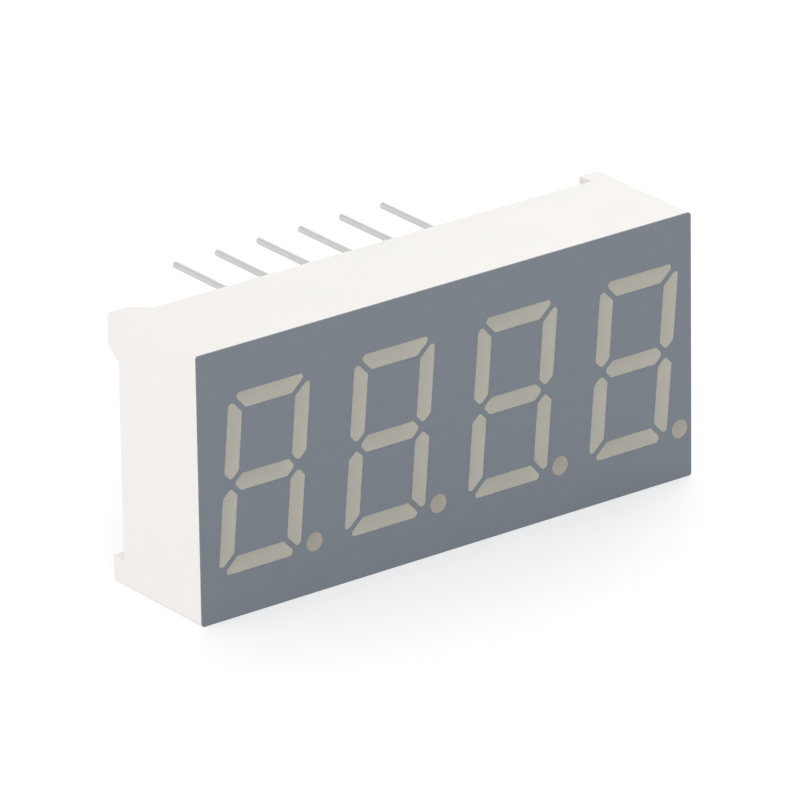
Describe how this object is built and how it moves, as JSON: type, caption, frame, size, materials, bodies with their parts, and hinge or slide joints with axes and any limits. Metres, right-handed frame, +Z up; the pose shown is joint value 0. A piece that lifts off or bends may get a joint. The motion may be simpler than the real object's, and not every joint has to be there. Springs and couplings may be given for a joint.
{
  "type": "seven-segment led display",
  "caption": "Seven-segment LED display with leaning digits and decimal points behind a grey face, in a white moulded case with rear feet and rows of through-hole pins.",
  "frame": {"origin": "middle of the pin pattern, on the plane of the rear feet", "axes": "+X along the digits as they are read, +Y out of the back along the pins, +Z up with the digits upright"},
  "size_m": [0.03, 0.014, 0.014],
  "materials": {
    "case_plastic": "moulded, satin",
    "face_ink": "printed, satin",
    "light_resin": "cast, diffused",
    "board_laminate": "lacquered",
    "copper": "etched",
    "solder": "reflowed",
    "back_resin": "cast, milky",
    "chip": "sawn crystal",
    "bond_wire": "drawn",
    "pin_metal": "tin plated"
  },
  "bodies": {
    "root": {"housing": "case_plastic", "face_film": "face_ink", "digit_1_segment_a": "light_resin", "digit_1_segment_b": "light_resin", "digit_1_segment_c": "light_resin", "digit_1_segment_d": "light_resin", "digit_1_segment_e": "light_resin", "digit_1_segment_f": "light_resin", "digit_1_segment_g": "light_resin", "digit_2_segment_a": "light_resin", "digit_2_segment_b": "light_resin", "digit_2_segment_c": "light_resin", "digit_2_segment_d": "light_resin", "digit_2_segment_e": "light_resin", "digit_2_segment_f": "light_resin", "digit_2_segment_g": "light_resin", "digit_3_segment_a": "light_resin", "digit_3_segment_b": "light_resin", "digit_3_segment_c": "light_resin", "digit_3_segment_d": "light_resin", "digit_3_segment_e": "light_resin", "digit_3_segment_f": "light_resin", "digit_3_segment_g": "light_resin", "digit_4_segment_a": "light_resin", "digit_4_segment_b": "light_resin", "digit_4_segment_c": "light_resin", "digit_4_segment_d": "light_resin", "digit_4_segment_e": "light_resin", "digit_4_segment_f": "light_resin", "digit_4_segment_g": "light_resin", "digit_1_point": "light_resin", "digit_2_point": "light_resin", "digit_3_point": "light_resin", "digit_4_point": "light_resin", "circuit_board": "board_laminate", "copper_tracks": "copper", "solder_joints": "solder", "back_fill": "back_resin", "digit_1_chips": "chip", "digit_2_chips": "chip", "digit_3_chips": "chip", "digit_4_chips": "chip", "digit_1_bond_wires": "bond_wire", "digit_2_bond_wires": "bond_wire", "digit_3_bond_wires": "bond_wire", "digit_4_bond_wires": "bond_wire", "pin_1": "pin_metal", "pin_2": "pin_metal", "pin_3": "pin_metal", "pin_4": "pin_metal", "pin_5": "pin_metal", "pin_6": "pin_metal", "pin_7": "pin_metal", "pin_8": "pin_metal", "pin_9": "pin_metal", "pin_10": "pin_metal", "pin_11": "pin_metal", "pin_12": "pin_metal"}
  },
  "joints": []
}
